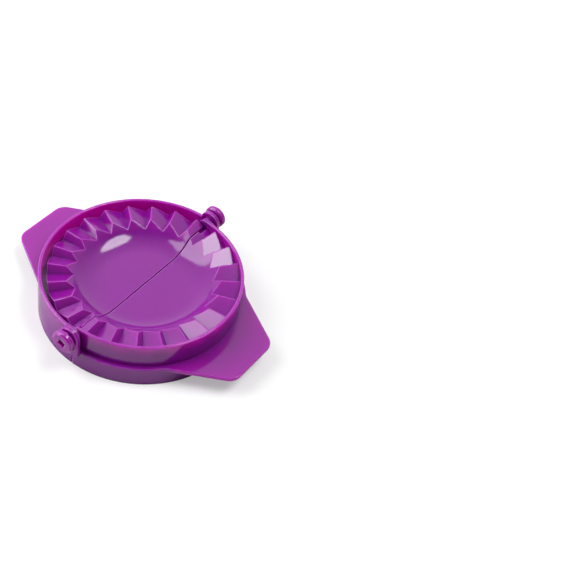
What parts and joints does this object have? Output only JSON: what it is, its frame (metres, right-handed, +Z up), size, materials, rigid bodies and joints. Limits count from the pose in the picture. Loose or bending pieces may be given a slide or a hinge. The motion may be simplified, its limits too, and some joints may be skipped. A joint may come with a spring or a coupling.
{
  "type": "empanada press",
  "caption": "Hinged plastic empanada press: a dish in two halves with saw-tooth crimping rings, nested sealing rims, thumb tabs and a cutting skirt.",
  "frame": {"origin": "centre of the base plane, under the middle of the hinge line", "axes": "+X towards the inner half's thumb tab, Y along the hinge line, +Z up"},
  "size_m": [0.1348, 0.114, 0.026],
  "materials": {
    "press_plastic": "gloss"
  },
  "bodies": {
    "outer_half_body": {"outer_half": "press_plastic", "hinge_pin_front": "press_plastic"},
    "inner_half_body": {"inner_half": "press_plastic", "hinge_pin_rear": "press_plastic"}
  },
  "joints": [
    {"name": "hinge", "type": "hinge", "parent": "outer_half_body", "child": "inner_half_body", "pos_m": [0, 0, 0.02035], "axis": [0, -1, 0], "range_deg": [0, 180]}
  ]
}
